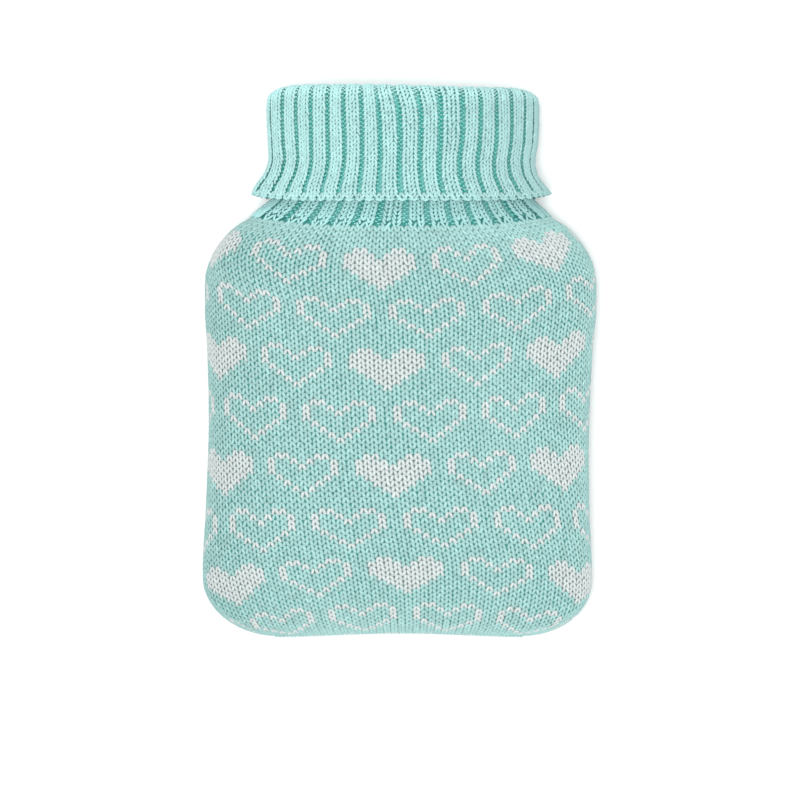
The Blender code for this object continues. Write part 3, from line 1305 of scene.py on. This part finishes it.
@dataclass
class KnittedBody:
    """The pouch: its cloth and its mint and white stitches."""

    finish: Finish
    pattern: HeartPattern = field(default_factory=HeartPattern)
    rows: int = 460  # of the fine grid under the stitches
    columns: int = 880
    cloth_depth: float = 0.72  # of the cloth under the body's outside, in millimetres
    cloth_wall: float = 0.9
    cloth_columns: int = 128
    close_rings: tuple[float, ...] = (0.0, 0.15, 0.5, 1.0, 1.8, 2.8, 4.0, 5.4)  # their heights
    even_rings: int = 76  # of the cloth above those
    even_from: float = 7.0
    cloth_top: float = 1.2  # how far the cloth runs up under the neck, in millimetres
    drawn_back: float = 8.0  # height under which it also lies back from the bottom edge
    mint_parts: int = 3
    straight_below: float = 22.0  # height under which the wales run straight down
    gathering: float = 0.12  # how much they draw together by the bottom edge
    crowding: float = 0.75  # how close together they end at the bottom corners
    seam_pitch: float = 1.15  # of the turns over the bottom edge, in millimetres
    overlap: float = 1.6  # how far the surface runs up the neck, in millimetres

    def sections(self, heights: Iterable[float]) -> list[Section]:
        """The body's rounded sections.

        Args:
            heights: where they are wanted, in millimetres.

        Returns:
            A section for each height.
        """
        above = widened(NECK[1], COLLAR_PROUD)
        rows = [*BODY, above]
        return [rounded(row) for row in smooth_between(rows, [row.height for row in rows], heights)]

    def surface(self) -> tuple[KnitSurface, np.ndarray]:
        """Measures the body's outside from the collar down to the bottom edge.

        Returns:
            The surface, and the heights of its rows in millimetres.
        """
        top = JOIN_HEIGHT + self.overlap
        # Rows lie closer together towards the bottom edge, and the last keeps a little height
        heights = top * (1.0 - np.linspace(0.0, 1.0, self.rows)) ** 1.5
        heights[-1] = 0.002
        turns = math.pi / 2 - np.linspace(0.0, 2 * math.pi, self.columns * 2 + 1)
        rings, across = [], []
        for section in self.sections(heights):
            if section.height > self.straight_below:
                ring = section.ring(turns)
                steps = np.linalg.norm(np.diff(ring, axis=0), axis=-1)
                at = np.concatenate([[0.0], np.cumsum(steps)])
                even = np.linspace(0.0, at[-1], self.columns, endpoint=False)
                last_turns, last_width = np.interp(even, at, turns), section.half_width
                here = last_turns
            else:
                here = self._run_down(last_turns, last_width, section)
            rings.append(hollowed(section.ring(here), section))
            across.append(np.cos(here))
        return KnitSurface(np.stack(rings), np.stack(across)), heights

    def _run_down(self, turns: np.ndarray, width: float, section: Section) -> np.ndarray:
        """Where straight wales cross a narrower section of the bottom end.

        Args:
            turns: angles of the wales on the last full section.
            width: half of that section's width.
            section: the narrower section.

        Returns:
            Their angles on it. Those that would miss it crowd together at its sides.
        """
        place = np.cos(turns)
        near_end = 1.0 - section.height / self.straight_below
        drawn_in = 1.0 - self.gathering * near_end * (1.0 - place**4)
        narrower = max(1.0, width / section.half_width)
        straight = np.arccos(np.clip(np.abs(place) * narrower * drawn_in, 0.0, 1.0))
        crowded = self.crowding * np.arccos(np.clip(np.abs(place), 0.0, 1.0))
        angle = (straight**4 + crowded**4) ** 0.25 / (1.0 + self.crowding**4) ** 0.25
        angle = np.minimum(angle, math.pi / 2)
        return np.arctan2(np.sign(np.sin(turns)) * np.sin(angle), np.sign(place) * np.cos(angle))

    def build(self) -> list[bpy.types.Object]:
        """Makes the cloth and the stitches.

        Returns:
            The cloth first, then the pieces of yarn on it.
        """
        surface, heights = self.surface()
        stitches = BodyStitches(surface, heights, self.pattern, SEED)
        white = self.pattern.chart(stitches.courses)
        LOG.info("body: %d courses of %d wales, %.1f mm long", *white.shape, surface.lengths[-1])
        course, wale = (index.ravel() for index in np.indices(white.shape))
        laid = stitches.lay(course, wale, BODY_LEG)
        laid = laid.joined(stitches.lay(course, wale, BODY_LEG.mirrored()))
        shade, band = np.tile(white.ravel(), 2), np.tile(wale, 2)
        pieces = [mesh_of_turns("white_yarn", laid.pick(shade & laid.kept))]
        assign(pieces[0], WHITE_YARN.material(self.finish))
        mint = MINT_YARN.material(self.finish)
        for part in range(self.mint_parts):
            low, high = (self.pattern.wales * k // self.mint_parts for k in (part, part + 1))
            inside = (band >= low) & (band < high)
            piece = mesh_of_turns(f"mint_yarn_{part + 1}", laid.pick(~shade & laid.kept & inside))
            assign(piece, mint)
            pieces.append(piece)
        pieces.append(mesh_of_turns("bottom_seam", self._seam(surface, stitches.random)))
        assign(pieces[-1], mint)
        return [self._cloth(laid, shade), *pieces]

    def _seam(self, surface: KnitSurface, random: np.random.Generator) -> Turns:
        """Slanting turns over the bottom edge, from corner to corner.

        Args:
            surface: the body's outside, whose last row is that edge.
            random: for their unevenness.

        Returns:
            The turns.
        """
        end = surface.grid[-1, :, :3]
        end = end[np.argsort(end[:, 0])]
        x = np.arange(end[0, 0] + 0.4, end[-1, 0] - 0.2, self.seam_pitch)
        x = x + random.normal(0.0, 0.06, len(x))
        y, z = (np.interp(x, end[:, 0], end[:, axis]) for axis in (1, 2))
        over = np.array([-1.0, -0.6, 0.0, 0.6, 1.0])
        slant, inset, bow, reach = 0.55, 0.22, 0.5, 1.9
        points = np.stack(
            [
                x[:, None] + slant * over,
                y[:, None] + inset + bow * over**2,
                z[:, None] + reach * over,
            ],
            axis=-1,
        )
        normals = np.broadcast_to((0.0, -1.0, 0.0), points.shape)
        widths = np.array([0.0, 0.42, 0.48, 0.42, 0.0]) * np.ones((len(x), 1))
        tone = random.normal(0.4, 0.4, len(x))
        return Turns(points, normals, widths, np.zeros_like(widths), tone, np.ones(len(x), bool))

    def _cloth(self, laid: Turns, white: np.ndarray) -> bpy.types.Object:
        """The thin cloth under the stitches, closed along the bottom edge.

        Args:
            laid: the turns of yarn on it.
            white: which of them are white.

        Returns:
            The piece.
        """
        nearest = KDTree(len(laid))
        for number, point in enumerate(laid.points[:, 2]):
            nearest.insert(point, number)
        nearest.balance()
        turns = math.pi / 2 - np.linspace(0.0, 2 * math.pi, self.cloth_columns, endpoint=False)
        above = np.linspace(self.even_from, JOIN_HEIGHT + self.cloth_top, self.even_rings)
        heights = np.concatenate([self.close_rings, above])
        rings, shades = [], []
        for section in self.sections(heights):
            inner = widened(section, -self.cloth_depth * min(1.0, section.height))
            ring = hollowed(inner.ring(turns), inner)
            ring[:, 2] = np.maximum(ring[:, 2], self.cloth_depth)
            ring[:, 1] += self.cloth_depth * max(0.0, 1.0 - section.height / self.drawn_back)
            rings.append(ring)
            shades.append([white[nearest.find(point)[1]] for point in ring])
        cloth = sheet_mesh("body_cloth", rings, shades, self.cloth_wall)
        assign(cloth, BODY_CLOTH.material())
        return cloth


@dataclass
class RibbedCollar:
    """The polo neck: its cloth, the ribs on its two sides that show, and its bound-off hem."""

    finish: Finish
    columns: int = 864  # of the fine grid under the stitches
    steps: int = 24  # its rows between two sections
    cloth_wall: float = 0.6
    pitch: float = 1.28  # of the courses, in millimetres
    cuff_courses: int = 40
    cuff_start: float = 0.6  # from the hem's section to course 0, in millimetres
    cuff_depth: float = 0.95  # of the cuff's grooves, in millimetres
    cuff_bend: Bend = Bend(course=0.0, reach=7.0, rib=4.5, spread=5.5, amount=0.2)
    fold_bend: Bend = Bend(course=28.5, reach=5.0, rib=8.4, spread=1.9, amount=-0.38)
    hem_start: float = -0.35
    hem_depth: float = 0.25
    neck_courses: int = 10
    neck_start: float = -0.9  # from the join's section to course 0
    neck_depth: float = 0.75
    neck_tuck: float = 0.5  # how deep course 0 dips under the body
    cloth_depth: float = 0.7  # of the grooves in the cloth between the two sides
    cloth_rings: int = 64
    cloth_points: int = 6  # of a ring, along each rib
    # Angles in degrees of the grooves in front, from the left to the right
    cuff_grooves: tuple[float, ...] = (
        168.9, 153.1, 142.6, 133.6, 124.3, 116.4, 108.0, 100.1,
        91.4, 82.1, 73.7, 63.6, 54.7, 45.7, 35.9, 24.9,
    )  # fmt: skip
    neck_grooves: tuple[float, ...] = (
        160.4, 142.2, 129.0, 119.0, 109.0, 99.6, 88.3, 79.2, 69.6, 60.0, 49.8, 38.5, 20.8,
    )  # fmt: skip

    def path(self) -> list[Section]:
        """Follows the middle of the collar's cloth.

        Returns:
            Sections from just under the neck, up it, over the fold and down outside to past the hem.
        """
        turned = []
        for turn in np.radians(np.linspace(180.0, 0.0, 9)):
            lifted = replace(FOLD, height=FOLD.height + FOLD_RADIUS * math.sin(turn))
            turned.append(widened(lifted, FOLD_RADIUS * math.cos(turn)))
        last = CUFF[-1].columns() + 0.35 * (CUFF[-1].columns() - CUFF[-2].columns())
        rows = [widened(BODY[-2], -COLLAR_PROUD), *NECK, *turned, *CUFF, Section(*last)]
        middle = np.array([[row.height, row.front] for row in rows])
        keys = np.concatenate([[0.0], np.cumsum(np.linalg.norm(np.diff(middle, axis=0), axis=1))])
        spans = [np.linspace(a, b, self.steps, endpoint=False) for a, b in zip(keys, keys[1:])]
        return smooth_between(rows, keys, np.concatenate([*spans, keys[-1:]]))

    def rings(self) -> np.ndarray:
        """Measures the middle of the collar's cloth.

        Returns:
            Its points, as [row, column, xyz] in millimetres.
        """
        turns = math.pi / 2 - np.linspace(0.0, 2 * math.pi, self.columns, endpoint=False)
        found = []
        for section in self.path():
            ring = section.ring(turns)
            near_top = (section.height - CUFF[0].height) / (FOLD_HEIGHT - CUFF[0].height)
            near_top = np.clip(near_top, 0.0, 1.0)
            wave = np.sin(TOP_WAVE_TURN * ring[:, 0] / section.half_width + TOP_WAVE_START)
            ring[:, 1] += TOP_WAVE * near_top * wave
            found.append(ring)
        return np.stack(found)

    def build(self) -> list[bpy.types.Object]:
        """Makes the cloth, the cuff's and the neck's ribs and the hem.

        Returns:
            The cloth first, then the pieces of yarn on it.
        """
        rings = self.rings()
        none = np.zeros(rings.shape[:2])
        middle = KnitSurface(rings, none)
        cuff = KnitSurface((rings + middle.normals * COLLAR_PROUD)[::-1], none, flip=True)
        neck = KnitSurface(rings - middle.normals * COLLAR_PROUD, none, flip=True)
        pieces = []
        for made, yarn in ((self._cuff(cuff), RIB_YARN), (self._neck(neck), NECK_YARN)):
            material = yarn.material(self.finish)
            for piece in made:
                assign(piece, material)
            pieces += made
        return [self._cloth(middle), *pieces]

    def _cuff(self, surface: KnitSurface) -> list[bpy.types.Object]:
        """Knits from the hem up, over the fold and a little way down inside the tube.

        Args:
            surface: the side of the cloth that shows, from the hem on.

        Returns:
            The left and the right half of the ribs, and the hem.
        """
        start = surface.lengths[self.steps] + self.cuff_start
        stitches = RibStitches(
            surface, self.pitch, start, self.cuff_grooves, self.cuff_depth, SEED + 1
        )
        # Over the fold, where the paleness is painted light, and at the hem
        stitches.shallow = ((27.0, 3.0, 1.5), (-0.5, 2.0, 0.3))
        stitches.bends = (self.cuff_bend, self.fold_bend)
        LOG.info("cuff surface %.1f mm long", surface.lengths[-1])
        under_hem = ((4, 0), (5, 0), (4, 1))
        laid = stitches.ribs(self.cuff_courses, strands(CUFF_LEG), under_hem)
        closing = (Strand(0.0, CUFF_LEG, 0.28), Strand(0.0, CUFF_LEG.mirrored(), 0.28))
        laid = laid.joined(stitches.ribs(1, closing, ()))
        order = np.argsort(laid.points[:, 2, 0], kind="stable")
        half = len(laid) // 2
        return [
            mesh_of_turns("cuff_ribs_left", laid.pick(order[:half])),
            mesh_of_turns("cuff_ribs_right", laid.pick(order[half:])),
            mesh_of_turns("hem_chain", self._hem(surface)),
        ]

    def _hem(self, surface: KnitSurface) -> Turns:
        """Binds off with a zigzag of slanting turns over a row of flat ones along the edge.

        Args:
            surface: the side of the cloth that shows, from the hem on.

        Returns:
            The turns.
        """
        start = surface.lengths[self.steps] + self.hem_start
        stitches = RibStitches(surface, 1.0, start, self.cuff_grooves, self.hem_depth, SEED + 2)
        stitches.shallow = ((0.0, 3.0, 0.0),)
        stitches.bends = (self.cuff_bend,)
        slants = np.arange(4 * RibStitches.RIBS)
        edges = np.arange(2 * RibStitches.RIBS)
        up, down = slants[::2] / 4 + 0.125, slants[1::2] / 4 + 0.125
        slant_course, slant_width, edge_course = 0.55, 0.27, -0.2
        at = np.full(len(up), slant_course)
        laid = stitches.lay(at, up, HEM_SLANT.mirrored(), slant_width)
        laid = laid.joined(stitches.lay(at, down, HEM_SLANT, slant_width))
        at = np.full(len(edges), edge_course)
        return laid.joined(stitches.lay(at, edges / 2, HEM_EDGE, 0.5))

    def _neck(self, surface: KnitSurface) -> list[bpy.types.Object]:
        """Knits the outside of the neck, from the body up to under the hem.

        Args:
            surface: the outside of the neck, from the body on.

        Returns:
            The ribs, as the only piece of a list.
        """
        start = surface.lengths[self.steps] + self.neck_start
        stitches = RibStitches(
            surface, self.pitch, start, self.neck_grooves, self.neck_depth, SEED + 3, 0.0
        )
        stitches.tuck = self.neck_tuck
        lines = strands(NECK_LEG)
        short = replace(lines[1], layout=replace(NECK_LEG, down=(0.0, 0.18, 0.42, 0.70, 0.92)))
        laid = stitches.ribs(self.neck_courses, lines, ((4, 0), (1, 1)))
        laid = laid.joined(stitches.ribs(2, (short,), ((0, 0),)))
        return [mesh_of_turns("neck_ribs", laid)]

    def _cloth(self, middle: KnitSurface) -> bpy.types.Object:
        """Makes the thin cloth between the two sides of the collar.

        It is smooth up the neck, and its grooves grow on the way to the fold.

        Args:
            middle: the surface that the cloth follows, from under the neck to past the hem.

        Returns:
            The piece.
        """
        count = RibStitches.RIBS * self.cloth_points
        waves = RibStitches(middle, 1.0, 0.0, self.cuff_grooves, self.cloth_depth, SEED, 0.0)
        rib = np.arange(count) / self.cloth_points
        groove = waves.relief(rib, rib)
        rings, shades = [], []
        join, hem = middle.lengths[self.steps], middle.lengths[-1 - self.steps]
        neck_top, growth = middle.lengths[len(NECK) * self.steps], 20.0
        for length in np.linspace(join - 1.0, hem - 0.9, self.cloth_rings):
            grown = np.clip((length - neck_top) / growth, 0.0, 1.0)
            row, share = waves.rows_and_shares(np.full(count, length), rib)
            points, normals = middle.place(row, share)
            shift = grown * groove * 0.5 + (1.0 - grown) * 0.3
            rings.append(points[:, :3] + normals * shift[:, None])
            # Painted shade in the grooves: 0 at a groove's bottom and 1 on the ridges, kept as the
            # attribute white
            shades.append(1.0 + groove / waves.depth)
        cloth = sheet_mesh("collar_cloth", rings, shades, self.cloth_wall, offset=0.0)
        assign(cloth, COLLAR_CLOTH.material())
        return cloth


def assign(piece: bpy.types.Object, material: bpy.types.Material) -> None:
    """Gives a piece its one material."""
    piece.data.materials.clear()
    piece.data.materials.append(material)


@dataclass
class Studio:
    """The pale floor, the soft light and the camera straight above the cover."""

    view_width: float = 0.248  # of what the camera sees at the cover's widest line, in metres
    side_line: float = 0.017  # height of that line
    middle: tuple[float, float] = (0.00015, -0.0121)  # of what it sees
    lens: float = 500.0
    sensor: float = 36.0
    lamp_at: tuple[float, float, float] = (-0.10, -0.05, 2.0)
    lamp_size: float = 0.7
    lamp_power: float = 29.5
    surround: float = 0.85  # strength of the white light from all sides

    def build(self) -> None:
        """Makes the floor, the light and the camera."""
        self._floor()
        self._light()
        self._camera()

    def _floor(self) -> None:
        """A wide near-white sheet that the cover lies on."""
        shape = bmesh.new()
        bmesh.ops.create_grid(shape, x_segments=1, y_segments=1, size=2.0)
        bmesh.ops.translate(shape, vec=(0.0, 0.0, -0.0001), verts=shape.verts)
        mesh = bpy.data.meshes.new("floor")
        shape.to_mesh(mesh)
        shape.free()
        floor = new_object("floor", mesh)
        paper = MattFibre("floor_paper", roughness=0.9, sheen=0.0, shine=0.1)
        paper.shader.inputs["Base Color"].default_value = (0.97, 0.97, 0.97, 1.0)
        assign(floor, paper.material)

    def _light(self) -> None:
        """An even white surround with one broad lamp almost straight above."""
        scene = bpy.context.scene
        world = scene.world or bpy.data.worlds.new("studio")
        scene.world = world
        world.use_nodes = True
        background = world.node_tree.nodes["Background"]
        background.inputs["Color"].default_value = (1.0, 1.0, 1.0, 1.0)
        background.inputs["Strength"].default_value = self.surround
        lamp = bpy.data.lights.new("softbox", "AREA")
        lamp.shape, lamp.size = "DISK", self.lamp_size
        lamp.energy = self.lamp_power
        holder = bpy.data.objects.new("softbox", lamp)
        holder.location = self.lamp_at
        holder.rotation_euler = (-holder.location).to_track_quat("-Z", "Y").to_euler()
        scene.collection.objects.link(holder)
        scene.view_settings.view_transform = "Standard"

    def _camera(self) -> None:
        """Looks straight down with the collar at the top."""
        data = bpy.data.cameras.new("camera")
        data.lens, data.sensor_width = self.lens, self.sensor
        camera = bpy.data.objects.new("camera", data)
        distance = self.view_width * self.lens / self.sensor
        camera.location = (*self.middle, self.side_line + distance)
        bpy.context.scene.collection.objects.link(camera)
        bpy.context.scene.camera = camera


def cover_origin() -> np.ndarray:
    """Finds the point in the frame that the tables are measured from.

    Returns:
        The middle of the bottom edge, on the surface that the cover lies on, in metres.
    """
    low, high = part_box("knitted_body")
    widths = [(row.lean - row.half_width, row.lean + row.half_width) for row in BODY]
    middle = (min(w[0] for w in widths) + max(w[1] for w in widths)) / 2 * MM
    return np.array([(low.x + high.x) / 2 - middle, CAD_BOX[0].y, 0.0])


ORIGIN = cover_origin()


def main() -> None:
    """Builds the studio, the body and the collar, and ties them to the frame."""
    Studio().build()
    finish = Finish()
    # For each sub-assembly: its pieces, node and slot, its cloth's flat size in metres, and its hold
    cloths = (
        (KnittedBody(finish).build(), "knitted_body", "patterned_knit", (0.262, 0.145), "stretched"),
        (RibbedCollar(finish).build(), "ribbed_collar", "plain_rib", (0.215, 0.078), "folded"),
    )
    for pieces, node, slot, flat, held in cloths:
        for piece in pieces:
            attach(piece, "root")
            LOG.info("%s: %d faces", piece.name, len(piece.data.polygons))
        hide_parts(node)


if __name__ == "__main__":
    logging.basicConfig(level=logging.INFO)
    main()
